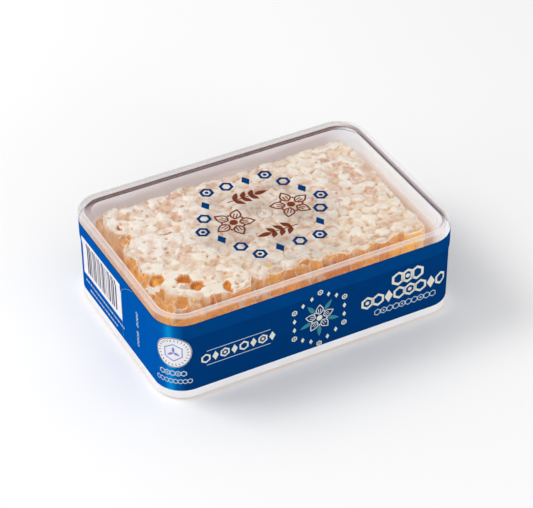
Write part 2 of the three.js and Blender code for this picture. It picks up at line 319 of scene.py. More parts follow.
def clear_plastic(name, haze_colour=(0.91, 0.875, 0.87)):
    """Clear moulded plastic: straight light goes through, and haze with painted highlights and a
    painted dark reflection follow the vertices.
    """
    look = Look(name)
    ripple = look.bump(look.noise(16.0, 2.0), 0.2, 0.25)
    # The darkening held by the vertices paints a dark reflection along the rims, strongest at the back
    # and the right.
    tint = look.mix(look.held("smoke"), (0.995, 0.995, 0.995), (0.23, 0.14, 0.13))
    through = look.node("BsdfTransparent", {"Color": tint})
    veil = look.node("BsdfDiffuse", {"Color": haze_colour, "Normal": ripple})
    scuffs = look.ramp(look.noise(7.0, 4.0, 0.6), 0.35, 0.7, 0.85, 1.15)
    haze = look.maths("MULTIPLY", look.held("haze"), scuffs, clamp=True)
    body = look.node("MixShader", {0: haze, 1: through.outputs[0], 2: veil.outputs[0]})
    shine = look.node("BsdfGlossy", {"Color": (1, 1, 1), "Roughness": 0.03, "Normal": ripple})
    # It mirrors alike from both sides (Schlick), and light passes it whole.
    facing = look.node("LayerWeight", {"Blend": 0.5, "Normal": ripple}).outputs["Facing"]
    grazing = look.ramp(look.maths("POWER", facing, 6.0), 0.0, 1.0, 0.004, 1.0)
    seen = look.maths("SUBTRACT", 1.0, look.node("LightPath").outputs["Is Shadow Ray"])
    share = look.maths("MULTIPLY", grazing, seen)
    return look.done(look.node("MixShader", {0: share, 1: body.outputs[0], 2: shine.outputs[0]}))


def ink(name, colour, roughness=0.4, specular=0.3, painted_light_left=None):
    """Ink on coated card, a little uneven. Optional stops, given as (share turned left, colour), paint
    light on the side turned left, with a painted highlight at the corner.
    """
    look = Look(name)
    if painted_light_left:
        turned = look.maths("MULTIPLY", look.axes("Normal")[0], -1.0, clamp=True)
        painted_light_ramp = look.node("ValToRGB", {"Fac": turned})
        stops = painted_light_ramp.color_ramp.elements
        for share, _ in painted_light_left[1:-1]:
            stops.new(share)
        for stop, (share, shade) in zip(stops, painted_light_left):
            stop.position, stop.color = share, (*shade, 1)
        colour = painted_light_ramp.outputs["Color"]
    cloud = look.ramp(look.noise(6.0, 4.0), 0.3, 0.7)
    worn = look.mix(cloud, colour, (0.92, 0.92, 0.92), "MULTIPLY")
    return look.surface(Base_Color=worn, Roughness=roughness, Specular_IOR_Level=specular,
                        Normal=look.card_grain())


def card_inside(name):
    """The label's white inside, with painted light: a painted warm reflection of the comb low down, and
    a painted glow that keeps its top bright, most of all on the right wall.
    """
    look = Look(name)
    place, across = look.axes("Object"), look.axes("Normal")[0]
    over_comb = look.ramp(place[2], 24.9 * MM, 25.3 * MM)
    clear_of_comb = look.maths("MAXIMUM", over_comb, look.ramp(place[1], -21 * MM, -25 * MM))
    near_top = look.ramp(place[2], 20.0 * MM, 25.2 * MM)
    at_right = look.ramp(across, 0.0, -1.0)
    toward_back = look.ramp(place[1], -10 * MM, 22 * MM)
    # Painted reflected light: the card is warm low down where the comb would light it, and its white
    # differs between the back and the right wall by painted light.
    low = look.mix(toward_back, (0.72, 0.52, 0.40), (0.84, 0.62, 0.48))
    warm = look.mix(near_top, low, (0.76, 0.80, 0.83))
    painted_white_far = look.mix(toward_back, (0.695, 0.79, 0.92), (0.72, 0.785, 0.86))
    white = look.mix(at_right, (0.67, 0.67, 0.72), painted_white_far)
    # Emission paints a glow on the card where no lamp is, stronger high up and on the right wall.
    painted_glow_far = look.mix(toward_back, (0.785, 0.905, 1.0), (0.83, 0.905, 0.96))
    painted_glow_low = look.ramp(near_top, 0.0, 1.0, 0.18, 0.31)
    painted_glow_high = look.ramp(at_right, 0.0, 1.0, 0.25, 0.39)
    return look.surface(
        Base_Color=look.mix(clear_of_comb, warm, white), Roughness=0.6, Specular_IOR_Level=0.1,
        Emission_Color=look.mix(at_right, (0.86, 0.87, 0.92), painted_glow_far),
        Emission_Strength=look.node("Mix", {0: clear_of_comb, 2: painted_glow_low, 3: painted_glow_high}).outputs[0],
        Normal=look.card_grain())


def comb_material(name):
    """Wax caps and honey in one surface, steered by the numbers that the comb's vertices hold."""
    look = Look(name)
    honey, wet, tone, gold = (look.held(key) for key in ("honey", "wet", "tone", "gold"))
    fine = look.noise(0.8, 4.0, 0.6)
    # The tone number carries painted shade from the relief: the wax goes to its dark colour in the
    # grooves and to its light one on the tops.
    light = look.maths("ADD", tone, look.ramp(fine, 0.3, 0.7, -0.18, 0.18), clamp=True)
    cool = look.mix(light, (0.59, 0.32, 0.18), (0.80, 0.765, 0.72))
    warm = look.mix(light, (0.67, 0.39, 0.15), (0.83, 0.76, 0.63))
    warm = look.mix(look.ramp(gold, 0.75, 1.0), warm, (0.95, 0.70, 0.30))
    mottle = look.ramp(look.noise(1.6, 4.0, 0.65), 0.35, 0.65)
    soaked = look.mix(mottle, (0.50, 0.235, 0.12), (0.74, 0.52, 0.40))
    # The wet number holds both soaked wax and the painted shade along the caps' front flanks.
    soak_and_shade = look.maths("MULTIPLY", wet, look.ramp(fine, 0.3, 0.55, 0.65, 1.0))
    wax = look.mix(soak_and_shade, look.mix(gold, cool, warm), soaked)
    streak = look.ramp(look.noise(2.4, 3.0, 0.6), 0.3, 0.7, -0.15, 0.15)
    depth = look.maths("ADD", gold, streak, clamp=True)
    amber = look.mix(depth, (0.48, 0.138, 0.010), (0.81, 0.42, 0.06))
    # Emission paints a glow into the wax and the honey, strongest on the honey of the cut sides, which
    # the label shades.
    upward = look.axes("Normal")[2]
    painted_side_glow = look.maths("MULTIPLY", honey, look.ramp(upward, 0.1, 0.6, 0.22, 0.03))
    return look.surface(
        Base_Color=look.mix(honey, wax, amber), Roughness=look.ramp(honey, 0.0, 1.0, 0.45, 0.25),
        Specular_IOR_Level=0.3, Subsurface_Weight=0.35, Subsurface_Radius=(1.0, 0.7, 0.45),
        Subsurface_Scale=0.8 * MM, Emission_Color=look.mix(honey, (0.35, 0.28, 0.21), amber),
        Emission_Strength=look.maths("ADD", painted_side_glow, 0.25), Normal=look.bump(fine, 0.15, 0.6))


# ---- Box

def clear_shell(name, rows, material, replaces):
    """A clear shell from profile rows: inset, z, corner radius, haze with painted highlights, and the
    painted dark reflection at the back and at the right.
    """
    profile = rounded([(*row, 0, 0)[:6] for row in rows])
    vertices, faces = sweep(profile[:, :2], False)
    made = piece(name, vertices, faces, [material], replaces=replaces)
    haze, at_back, at_right = np.repeat(profile[:, 2:], len(vertices) // len(profile), axis=0).T
    x, y, _ = vertices.T
    right = smooth((x - 46) / 8) * smooth((y + 40) / 12)
    back = smooth((y - 28) / 9)
    turn = smooth((x - LENGTH / 2 - y + WIDTH / 2 + 6) / 12)  # from 0 at the back to 1 at the right
    faint = 0.05  # the share of the painted dark reflection that shows along the front and the left
    smoke_back, smoke_right = (at * (faint + (1 - faint) * side)
                               for at, side in ((at_back, back), (at_right, right)))
    thinned_back, thinned_right = 0.55 * back, 0.7 * right * smooth((at_right - 0.2) / 0.3)
    paint(made, haze=haze * (1 - blend(thinned_back, thinned_right, turn)),
          smoke=blend(smoke_back, smoke_right, turn))


def build_box():
    plastic = clear_plastic("clear_plastic")
    plain = 0.003  # the haze of a clean wall
    # Lid rows: inset, z, corner radius, haze, then the painted dark reflection at the back and at the
    # right. The haze peaks in thin rows on the rim's top paint its bright lines as painted highlights,
    # and the dark rows paint its dark line.
    clear_shell("clear_lid", [
        (SKIRT_INNER, PANEL_BOTTOM, 0, plain),
        (SKIRT_INNER, SKIRT_BOTTOM, 0.2, plain),
        (SKIRT_OUTER, SKIRT_BOTTOM, 0.2, plain),
        (SKIRT_OUTER, RIM_BOTTOM - 1.0, 0, plain),
        (SKIRT_OUTER, RIM_BOTTOM - 0.4, 0.2, 0.01),
        (0.0, RIM_BOTTOM, 0.3, 0.06, 0.1),
        (0.0, RIM_BOTTOM + 0.5, 0, 0.01, 0.1),
        (0.0, HEIGHT - 0.9, 0, 0.02, 0.1),
        (0.0, HEIGHT - 0.55, 0, 0.18),
        (0.0, HEIGHT, 0.5, 0.50),
        (0.5, HEIGHT, 0, 0.42, 0.3),
        (1.05, HEIGHT, 0, 0.50, 0.35),
        (1.12, HEIGHT, 0, 0.26, 0.5, 0.1),
        (1.30, HEIGHT, 0, 0.26, 0.5, 0.1),
        (1.37, HEIGHT, 0, 0.50, 0.35),
        (RIM_WIDTH - 0.65, HEIGHT, 0, 0.42, 0.35, 0.45),
        (RIM_WIDTH - 0.50, HEIGHT, 0, 0.66, 0.3, 0.58),
        (RIM_WIDTH - 0.05, HEIGHT, 0.3, 0.66, 0.3, 0.76),
        (RIM_WIDTH, PANEL_TOP + 0.50, 0, 0.30, 0.2, 0.78),
        (RIM_WIDTH + 0.10, PANEL_TOP + 0.05, 0, 0.05, 0.35, 0.80),
        (RIM_WIDTH + 0.20, PANEL_TOP, 0, 0.008, 1.0, 0.78),
        (RIM_WIDTH + 0.80, PANEL_TOP, 0, 0.008, 1.0, 0.78),
        (RIM_WIDTH + 0.95, PANEL_TOP, 0, 0.008, 1.0, 0.10),
        (RIM_WIDTH + 1.10, PANEL_TOP, 0, 0.02, 1.0),
        (RIM_WIDTH + 2.30, PANEL_TOP, 0, 0.02, 0.85),
        (RIM_WIDTH + 2.45, PANEL_TOP, 0, 0.15),
        (RIM_WIDTH + 2.65, PANEL_TOP, 0, 0.15),
        (RIM_WIDTH + 2.75, PANEL_TOP, 0, 0.006),
    ], plastic, "lid")
    clear_shell("clear_tray", [
        (FOOT_INSET + 2.8, 2.2, 0, 0.01),
        (FOOT_INSET + 2.4, 0.0, 0.2, 0.1),
        (FOOT_INSET, 0.0, 0.2, 0.1),
        (0.8, 0.5, 0.2, plain),
        (SHOULDER_INSET, SHOULDER, 0.3, plain),
        (NECK_OUTER, SHOULDER, 0.2, plain),
        (NECK_OUTER, NECK_TOP - 0.8, 0, plain),
        (NECK_OUTER, NECK_TOP, 0.4, 0.03),
        (NECK_INNER, NECK_TOP, 0.4, 0.06),
        (NECK_INNER, NECK_TOP - 0.6, 0, plain),
        (NECK_INNER, SHOULDER - 0.2, 0.4, plain),
        (SHOULDER_INSET + 1.4, SHOULDER - 1.3, 0.4, 0.01),
        (2.2, 5.2, 0.6, plain),
        (3.8, 3.6, 0, plain),
    ], plastic, "tray")


def label_inset(z):
    """How far the label's outer face lies inside the box's outline at height z."""
    lean = blend(OVER_FOOT, OVER_SHOULDER, (z - LABEL_BOTTOM) / (SHOULDER - LABEL_BOTTOM))
    step = smooth((z - LABEL_STEP[0]) / (LABEL_STEP[1] - LABEL_STEP[0]))
    return blend(lean, OVER_SKIRT, step) - PAPER


def label_spot(s, z, lift):
    """A point on the label: s runs along it from the middle of the front, to the right."""
    inset = label_inset(z) - lift
    straight, deep = LENGTH / 2 - CORNER_RADIUS, WIDTH / 2 - CORNER_RADIUS
    side = copysign(1, s)
    turned = (abs(s) - straight) / CORNER_RADIUS
    if turned <= 0:
        return (s, -(WIDTH / 2 - inset), z)
    radius = CORNER_RADIUS - inset
    if turned < pi / 2:
        return (side * (straight + radius * sin(turned)), -deep - radius * cos(turned), z)
    return (side * (LENGTH / 2 - inset), -deep + (abs(s) - straight - QUARTER_TURN), z)


def build_label():
    def blue_ink(name, front):
        # The stops paint light: the blue grows lighter as the card turns left, with a painted cyan
        # highlight near the corner.
        return ink(name, front, roughness=0.5, specular=0.0, painted_light_left=[
            (0.0, front), (0.35, front), (0.62, (0.0005, 0.11, 0.40)),
            (0.76, (0.001, 0.27, 0.66)), (0.88, (0.0005, 0.11, 0.44)), (1.0, (0.0003, 0.092, 0.405)),
        ])

    bend = np.linspace(*LABEL_STEP, 7).tolist()
    outer = [(float(label_inset(z)), z) for z in [LABEL_BOTTOM, LABEL_BAND, *bend, LABEL_TOP]]
    inner = [(inset + PAPER, z) for inset, z in reversed(outer)]
    vertices, faces = sweep(outer + inner, True)
    blue, white, inside, lit_blue_top = range(4)
    kinds = [white] + [blue] * (len(outer) - 3) + [lit_blue_top] * 2 + [inside] * (len(inner) - 1) + [white]
    piece("wrap_label", vertices, faces, [
        blue_ink("label_blue", LABEL_BLUE), ink("label_white", (0.86, 0.86, 0.88), roughness=0.45),
        card_inside("label_back"), blue_ink("label_blue_top", LABEL_BLUE_LIT_TOP),
    ], np.repeat(kinds, len(faces) // len(kinds)), replaces="label")


# ---- Print

class Sheet:
    """Flat shapes of one ink, as thin closed solids that follow a surface."""

    def __init__(self, spot, low=0.01, high=0.05, grain=1.0):
        self.spot, self.low, self.high, self.grain = spot, low, high, grain
        self.vertices, self.faces = [], []

    def solid(self, points, triangles):
        """Adds the triangles' top, their underside and the wall along every open edge."""
        base, count = len(self.vertices), len(points)
        for lift in (self.high, self.low):
            self.vertices += [self.spot(u, v, lift) for u, v in points]
        edges = {}
        for a, b, c in triangles:
            self.faces.append((base + a, base + b, base + c))
            self.faces.append((base + count + c, base + count + b, base + count + a))
            for start, end in ((a, b), (b, c), (c, a)):
                edges[start, end] = True
        for start, end in edges:
            if (end, start) not in edges:
                self.faces.append((base + start, base + count + start, base + count + end, base + end))

    def patch(self, outline):
        """A filled outline, given anticlockwise."""
        border = self.stepped(outline, True)
        low, high = border.min(axis=0), border.max(axis=0)
        fill = [
            (u, v)
            for u in np.arange(low[0] + self.grain / 2, high[0], self.grain)
            for v in np.arange(low[1] + self.grain / 2, high[1], self.grain)
            if min(np.linalg.norm(border - (u, v), axis=1)) > self.grain * 0.35
        ]
        edges = [(k, (k + 1) % len(border)) for k in range(len(border))]
        points = [Vector(point) for point in border.tolist() + fill]
        points, _, triangles, *_ = delaunay_2d_cdt(points, edges, [], 1, 1e-5)
        used = sorted({corner for triangle in triangles for corner in triangle})
        renamed = {old: new for new, old in enumerate(used)}
        self.solid([points[k] for k in used], [[renamed[k] for k in t] for t in triangles])

    def bar(self, left, low, right, high):
        self.patch([(left, low), (right, low), (right, high), (left, high)])

    def stepped(self, path, closed):
        """The path with points added so that no step is longer than the grain."""
        path = np.asarray(path, dtype=float)
        ends = np.roll(path, -1, axis=0) if closed else path[1:]
        result = []
        for here, after in zip(path, ends):
            steps = max(1, ceil(np.linalg.norm(after - here) / self.grain))
            result += [here + (after - here) * k / steps for k in range(steps)]
        return np.array(result if closed else result + [path[-1]])

    def stroke(self, path, width, closed=False):
        """A line of this width along the path."""
        path = self.stepped(path, closed)
        ahead = np.roll(path, -1, axis=0) - path
        behind = path - np.roll(path, 1, axis=0)
        if not closed:
            ahead[-1], behind[0] = behind[-1], ahead[0]
        ahead = unit(ahead)
        middle = unit(ahead + unit(behind))
        spread = width / 2 / np.maximum((middle * ahead).sum(axis=1), 0.5)
        side = np.column_stack([-middle[:, 1], middle[:, 0]]) * spread[:, None]
        count = len(path)
        triangles = []
        for k in range(count if closed else count - 1):
            n = (k + 1) % count
            triangles += [(k, n, count + n), (k, count + n, count + k)]
        self.solid(np.vstack([path - side, path + side]).tolist(), triangles)

    def loop(self, path, width):
        self.stroke(path, width, closed=True)

    def finish(self, name, material):
        return piece(name, self.vertices, self.faces, [material], smooth_deg=25)


def polygon(centre, radius, sides, turn=0.0, squeeze=1.0):
    """A regular outline. turn is in degrees, and squeeze narrows it across."""
    angles = radians(turn) + np.arange(sides) * 2 * pi / sides
    return np.column_stack([centre[0] + radius * squeeze * np.cos(angles),
                            centre[1] + radius * np.sin(angles)])


def petal(root, length, width, turn, points=7):
    """A pointed leaf outline that grows from its root, turned by this many degrees."""
    t = np.linspace(0, 1, points)
    swell = width / 2 * np.sin(pi * t ** 0.8)
    along = np.concatenate([t * length, t[-2:0:-1] * length])
    across = np.concatenate([-swell, swell[-2:0:-1]])
    angle = radians(turn)
    return np.column_stack([root[0] + along * cos(angle) - across * sin(angle),
                            root[1] + along * sin(angle) + across * cos(angle)])


def around(centre, radius, turn):
    angle = radians(turn)
    return (centre[0] + radius * cos(angle), centre[1] + radius * sin(angle))


def blossom(sheet, centre, size, line, turn=90):
    """Five outlined petals with a veined middle and a ring of dots."""
    for k in range(5):
        angle = turn + 72 * k
        root = around(centre, size * 0.16, angle)
        sheet.loop(petal(root, size * 0.38, size * 0.27, angle, 9), line)
        for lean in (-9, 9):
            sheet.stroke([around(centre, size * 0.22, angle + lean),
                          around(centre, size * 0.38, angle + lean * 0.7)], line * 0.7)
        sheet.patch(polygon(around(centre, size * 0.30, angle + 36), size * 0.035, 8))
    sheet.patch(polygon(centre, size * 0.11, 12))


def sprig(sheet, centre, size, turn):
    """A stem with leaves in pairs and one at its tip."""
    start = around(centre, -size / 2, turn)
    sheet.stroke([start, around(centre, size * 0.2, turn)], size * 0.028)
    sheet.patch(petal(around(centre, size * 0.16, turn), size * 0.34, size * 0.14, turn))
    for k in range(3):
        root = around(start, size * (0.16 + 0.2 * k), turn)
        for side in (-1, 1):
            sheet.patch(petal(root, size * (0.30 - 0.03 * k), size * 0.13, turn + side * 52))


def cell_mark(sheet, centre, radius, line, kind):
    """One printed mark: 0 is a hexagon ring, 1 has a dot in it, and 2 is a diamond."""
    if kind == 2:
        sheet.patch(polygon(centre, radius, 4, 90, squeeze=0.62))
        return
    sheet.loop(polygon(centre, radius - line / 2, 6, 90), line)
    if kind == 1:
        sheet.patch(polygon(centre, radius * 0.3, 6, 90))


def mark_ring(sheet, centre, ring_radius, turn, radius, line, kinds):
    """Marks round a hexagon, three to a side."""
    corners = polygon(centre, ring_radius, 6, turn)
    for k in range(18):
        here, after = corners[k // 3], corners[(k // 3 + 1) % 6]
        cell_mark(sheet, here + (after - here) * (k % 3) / 3, radius, line, kinds[k % 3])


def mark_row(sheet, start, end, middle, height, count, line, kinds):
    """A row of marks along the label between two places."""
    radius = height / 2
    for k in range(count):
        s = start + radius + (end - start - 2 * radius) * k / (count - 1)
        cell_mark(sheet, (s, middle), radius, line, kinds[k % len(kinds)])


def dash_row(sheet, start, end, middle, height, purpose):
    """A row of short dashes of uneven lengths, with gaps between."""
    s, k = start, 0
    while s < end - height:
        length = height * (0.6 + 1.8 * chance(k, 1, purpose))
        sheet.bar(s, middle - height / 2, min(s + length, end), middle + height / 2)
        s += length + height * (0.35 + 0.5 * chance(k, 2, purpose))
        k += 1


def lid_spot(x, y, lift):
    return (x, y, PANEL_TOP + lift)


def build_lid_print():
    middle_y = 1.0
    blue = Sheet(lid_spot, grain=1.6)
    mark_ring(blue, (0.0, middle_y), 23.6, 0, 2.7, 1.05, (1, 2, 0))
    blue.finish("lid_print_blue", ink("lid_blue", (0.002, 0.045, 0.17), specular=0.0))

    brown = Sheet(lid_spot, grain=1.2)
    for side in (-1, 1):
        blossom(brown, (side * 11.5, middle_y), 14.0, 0.62, 90 * side)
        sprig(brown, (0.0, middle_y + side * 11.5), 16.0, 90 - 90 * side)
    brown.finish("lid_print_brown", ink("lid_brown", (0.19, 0.045, 0.022), specular=0.0))


def build_lid_marks(material):
    """The clear round decal under the print and the gate mark in the lid's middle."""
    decal_centre, decal_radius, gate_centre = (0.0, 0.5), 28.0, (0.6, 0.5)
    decal = Sheet(lid_spot, low=0.001, high=0.009, grain=6.0)
    decal.patch(polygon(decal_centre, decal_radius - 0.2, 64))
    paint(decal.finish("lid_decal", material), haze=0.035, smoke=0)

    gate = Sheet(lid_spot, low=0.06, high=0.14)
    gate.loop(polygon(gate_centre, 2.9, 32), 0.4)
    gate.patch(polygon(gate_centre, 0.7, 12))
    gate.loop(polygon(decal_centre, decal_radius, 96), 0.18)
    made = gate.finish("lid_gate_mark", material)
    from_middle = np.hypot(*np.array(gate.vertices).T[:2])
    # On the gate mark the haze paints a bright ring, and the darkening paints dark arcs in its middle
    # and a faint dark line on the decal's edge.
    paint(made, haze=0.4, smoke=np.where(from_middle < 5, 0.5, 0.15))


def left_side(y):
    """Where a point of the left face lies along the label."""
    return -(LENGTH / 2 - CORNER_RADIUS + QUARTER_TURN + WIDTH / 2 - CORNER_RADIUS + y)


def build_label_print():
    emblem, seal, seal_radius = (0.8, 16.5), (-55.0, 20.8), 6.6
    cream = Sheet(label_spot)
    mark_row(cream, 29.4, 43.0, 22.0, 6.0, 3, 0.95, (0, 1, 0))
    mark_row(cream, 17.3, 53.0, 15.6, 5.4, 8, 0.85, (1, 0, 2, 0))
    mark_row(cream, -45.2, -15.8, 15.8, 3.9, 8, 0.6, (0, 2, 1, 2))
    mark_ring(cream, emblem, 11.4, 30, 1.15, 0.4, (1, 2, 2))
    blossom(cream, emblem, 10.5, 0.34)
    cream.finish("label_print_cream", ink("label_cream", (0.68, 0.69, 0.60)))

    teal = Sheet(label_spot)
    for turn in range(54, 54 + 360, 72):
        teal.patch(petal(around(emblem, 3.2, turn), 5.0, 1.7, turn))
    teal.finish("label_print_teal", ink("label_teal", (0.02, 0.20, 0.26)))

    pale = Sheet(label_spot)
    for z in (18.85, 12.7):
        pale.bar(-42.9, z - 0.14, -18.45, z + 0.14)
    mark_row(pale, 22.8, 48.5, 10.0, 2.9, 10, 0.32, (0, 1, 0))
    mark_row(pale, -60.8, -50.3, 11.6, 2.5, 5, 0.4, (0, 1))
    mark_row(pale, -62.5, -48.3, 8.1, 2.2, 8, 0.32, (0,))
    dash_row(pale, left_side(27.7), left_side(-4.7), 9.2, 0.75, 41)
    dash_row(pale, left_side(24.5), left_side(0.5), 6.3, 0.75, 42)
    for k in (0, 1, 2, 3, 5, 6, 7, 8):
        cell_mark(pale, (left_side(-16.0), 10.6 + 1.7 * k), 0.85, 0.3, k % 2)
    pale.finish("label_print_pale", ink("label_pale", (0.42, 0.52, 0.60)))

    white = Sheet(label_spot)
    white.patch(polygon(seal, seal_radius, 40))
    white.bar(left_side(28.9), 11.8, left_side(-3.1), 28.2)
    white.finish("label_print_white", ink("label_panel", (0.84, 0.83, 0.86)))

    dark = Sheet(label_spot, low=0.06, high=0.09)
    dark.loop(polygon(seal, seal_radius - 0.25, 40), 0.22)
    for k in range(26):
        angle = k * 360 / 26
        dark.stroke([around(seal, 4.9, angle), around(seal, 5.7, angle + 3)], 0.24)
    s, k = left_side(25.2), 0
    while s < left_side(-0.8) - 0.4:
        width = 0.30 * (1 + int(3.0 * chance(k, 3, 43) ** 1.6))
        dark.bar(s, 13.8, s + width, 27.0)
        s += width + 0.58 * (1 + int(2.3 * chance(k, 4, 44)))
        k += 1
    dark.finish("label_print_dark", ink("label_dark", (0.09, 0.065, 0.11), specular=0.0))

    lilac = Sheet(label_spot, low=0.06, high=0.09)
    lilac.loop(polygon(seal, 3.6, 6, 90), 0.35)
    for turn in (90, 210, 330):
        lilac.patch(petal(seal, 2.6, 1.0, turn))
    lilac.finish("label_print_lilac", ink("label_lilac", (0.22, 0.24, 0.62)))

    flap = Sheet(label_spot, low=0.0, high=0.1, grain=1.5)
    edge = [(-3.3, z) for z in np.arange(LABEL_BAND, 23.6, 1.5)]
    edge += [(-3.9, 25.6), (-5.4, 27.6), (-8.3, 29.8), (-11.0, 31.3), (-13.7, 32.3)]
    flap.stroke([(left_side(y), z) for y, z in edge], 0.22)
    flap.finish("label_flap_edge", ink("label_edge", (0.02, 0.20, 0.50)))


# ---- Comb

# Cells that stand open in the capped face, as column and row from the seed cell.
OPEN_CELLS = {(0, 0), (0, -1), (-2, 1)}
OPEN_MIDDLE = (-41.0, -15.0)
# Torn holes in the caps: middle, half-widths and turn in degrees.
HOLES = [
    (-27.3, -25.0, 1.5, 3.1, -20), (-45.6, 23.0, 0.8, 1.6, 10), (-34.6, 12.2, 0.3, 1.3, 55),
    (-32.4, 11.0, 0.3, 1.2, -60), (-50.0, -4.8, 0.5, 0.8, 60), (2.6, -25.6, 1.2, 2.3, 70),
    (12.0, -26.8, 1.0, 1.8, 50), (-23.2, -24.5, 0.4, 0.9, 20),
]
# The torn edge of the caps: (x, y) along the front of the slab, and (y, x) along its left.
FRONT_TEAR = [
    (-41, -25.6), (-36, -27.0), (-30.5, -28.0), (-26, -29.6), (-20.4, -29.6), (-19, -26.4),
    (-17.8, -24.6), (-16, -27.8), (-12.8, -26.7), (-9.4, -27.8), (-6, -26.8), (-4, -28.0),
    (-0.8, -26.6), (1.6, -25.0), (3.6, -24.5), (5, -26.6), (7.2, -28.5), (10.1, -26.3),
    (12, -27.6), (15.2, -27.4), (18.8, -29.7), (21.4, -28.1), (24.7, -29.9), (28, -28.3),
    (32.6, -29.8), (36, -28.5), (40, -27.6), (42.7, -29.6), (46, -30.2),
]
LEFT_TEAR = [
    (-25.6, -41.0), (-22.9, -43.7), (-21.5, -45.6), (-19.5, -48.4), (-17, -47.6), (-14.8, -48.8),
    (-9, -48.6), (-6, -50.2), (-3.2, -50.6), (2.3, -48.8), (6, -50.6), (9, -50.2), (12.8, -47.2),
    (15, -45.0), (17.6, -44.4), (19.6, -46.6), (21.6, -49.6), (27, -49.4), (33.8, -47.5),
]
# Caps that lie wet on the honey: middle and half-widths.
WET_PATCHES = [
    (-26, 26, 3.6, 3.2), (-20.5, 30.5, 3.6, 1.8), (-42, 27.5, 2.6, 1.6), (-30.8, -0.5, 2.8, 2.4),
    (-25.5, 20, 1.6, 3.4), (-10, -5.6, 2.8, 2.0), (-24.6, -10.6, 1.5, 1.6), (8.5, 19, 4.6, 1.6),
    (17.5, 17, 2.4, 1.4), (43, 12.5, 2.2, 5.0), (43.5, -1, 1.8, 3.0), (36.4, 15.5, 1.2, 2.0),
    (37.5, 25, 1.6, 1.0), (22, 3.2, 1.6, 1.2), (25, -25.5, 2.8, 1.5), (32.5, -26, 2.6, 1.8),
    (-6, 29.5, 2.4, 1.6), (-46.8, 2.5, 1.0, 1.8), (12, -8, 1.4, 1.0), (39, -21.5, 1.0, 1.6),
    (-9, -25, 2.8, 1.6), (-40.5, -19.5, 1.8, 1.4), (14.5, 30.6, 3.0, 1.2), (20, -12.5, 2.4, 0.9),
    (38.3, 23.9, 2.2, 0.9), (41.4, 20.1, 2.0, 1.2), (36.1, 14.7, 1.2, 0.9), (33.7, 9.9, 1.1, 0.6),
    (43.6, -5.1, 0.9, 0.7), (21.5, 3.4, 1.3, 0.6), (30.3, -0.3, 1.3, 0.7), (37.6, -13.2, 1.2, 0.6),
    (11.7, -8.4, 1.5, 0.9), (37.7, -22.9, 1.2, 0.8),
]
# Where the wax shows yellow: middle, half-widths and strength.
GOLD_SPOTS = [
    (-50, 4, 2.0, 4.0, 0.7), (-10, -22.4, 2.2, 1.7, 1.0), (-47, -8, 2.0, 3.0, 0.72),
    (48, 24, 3.0, 6.0, 0.75), (-36, -28, 5.0, 2.5, 0.72), (44, -27, 6.0, 2.5, 0.72),
]


def comb_cells(purpose=0):
    """Every cell of the lattice that the slab needs, as a table of named columns."""
    rows = []
    for row in range(-5, 14):
        for column in range(-4, 21):
            x = SEED_CELL[0] + (column + abs(row % 2) / 2) * PITCH
            y = SEED_CELL[1] + row * ROW_PITCH
            share = [chance(column, row, purpose + k) for k in range(1, 12)]
            opened = purpose == 0 and (column, row) in OPEN_CELLS
            spread = 0.35 if opened else 1.1
            wander_x = 0.5 * sin(y / 8.3 + 0.7) * cos(x / 21)
            wander_y = 0.5 * sin(x / 10.7 + 2.1) * cos(y / 17)
            swell = 0.35 * sin(x / 16 + 1.1) * cos(y / 12 - 0.5)
            swell += 0.25 * sin(x / 7.5 - y / 9.5)
            rows.append((
                x + wander_x + spread * (share[5] - 0.5), y + wander_y + spread * (share[6] - 0.5),
                swell + 0.42 * (2 * share[1] - 1), float(opened),
                0.30 * (share[7] - 0.5), 0.30 * (share[8] - 0.5), share[9], share[10], share[3],
            ))
    names = "x y level open tilt_x tilt_y tone wet depth".split()
    return dict(zip(names, np.array(rows).T))


def nearest_cells(points, cells):
    """The three cells nearest each point, and the distances to the wall and to the next one."""
    centres = np.stack([cells["x"], cells["y"]], axis=1)
    order = np.empty((len(points), 3), dtype=np.int64)
    wall, fork = np.empty(len(points)), np.empty(len(points))
    for start in range(0, len(points), 8192):
        rows = slice(start, start + 8192)
        square = ((points[rows, None] - centres) ** 2).sum(axis=2)
        picks = np.argpartition(square, (0, 1, 2), axis=1)[:, :3]
        values = np.take_along_axis(square, picks, axis=1)
        order[rows] = picks
        for distance, k in ((wall, 1), (fork, 2)):
            gap = np.linalg.norm(centres[picks[:, k]] - centres[picks[:, 0]], axis=1)
            distance[rows] = (values[:, k] - values[:, 0]) / (2 * gap)
    return order, wall, fork


def spots(points, places):
    """Ragged blobs (x, y, half-widths, strength) that fade to 0 outside."""
    ragged = 0.5 * noise(points, 1.8, 31) + 0.45 * noise(points, 0.9, 32)
    total = np.zeros(len(points))
    for x, y, across, along, *strength in places:
        reach = np.hypot((points[:, 0] - x) / across, (points[:, 1] - y) / along)
        share = smooth((1.2 + ragged - reach) / 0.45)
        total = np.maximum(total, share * (strength[0] if strength else 1))
    return total


def holes_at(points):
    """How far inside a torn hole each point lies, from 0 at its lip to 1 at its middle."""
    total = np.full(len(points), -1.0)
    ragged = 0.18 * noise(points, 1.1, 33)
    for x, y, across, along, turn in HOLES:
        angle = radians(turn)
        dx, dy = points[:, 0] - x, points[:, 1] - y
        u = dx * cos(angle) + dy * sin(angle)
        v = dy * cos(angle) - dx * sin(angle)
        total = np.maximum(total, 1 + ragged - np.hypot(u / across, v / along))
    return total


def tear(along, at_front):
    """Where the caps end along the slab's front, or along its left and round its front corner."""
    table, seed = (FRONT_TEAR, 21) if at_front else (LEFT_TEAR, 23)
    places, edge = np.array(table).T
    wander = 0.6 * line_noise(along, 2.1, seed)
    return np.interp(along, places, edge) + wander + 0.15 * line_noise(along, 1.0, seed + 1)


def golden(x):
    """How light the honey is along the cut: golden at the slab's ends, deep between them."""
    return 0.24 + 0.20 * smooth((-30 - x) / 12) + 0.28 * smooth((x - 26) / 14)


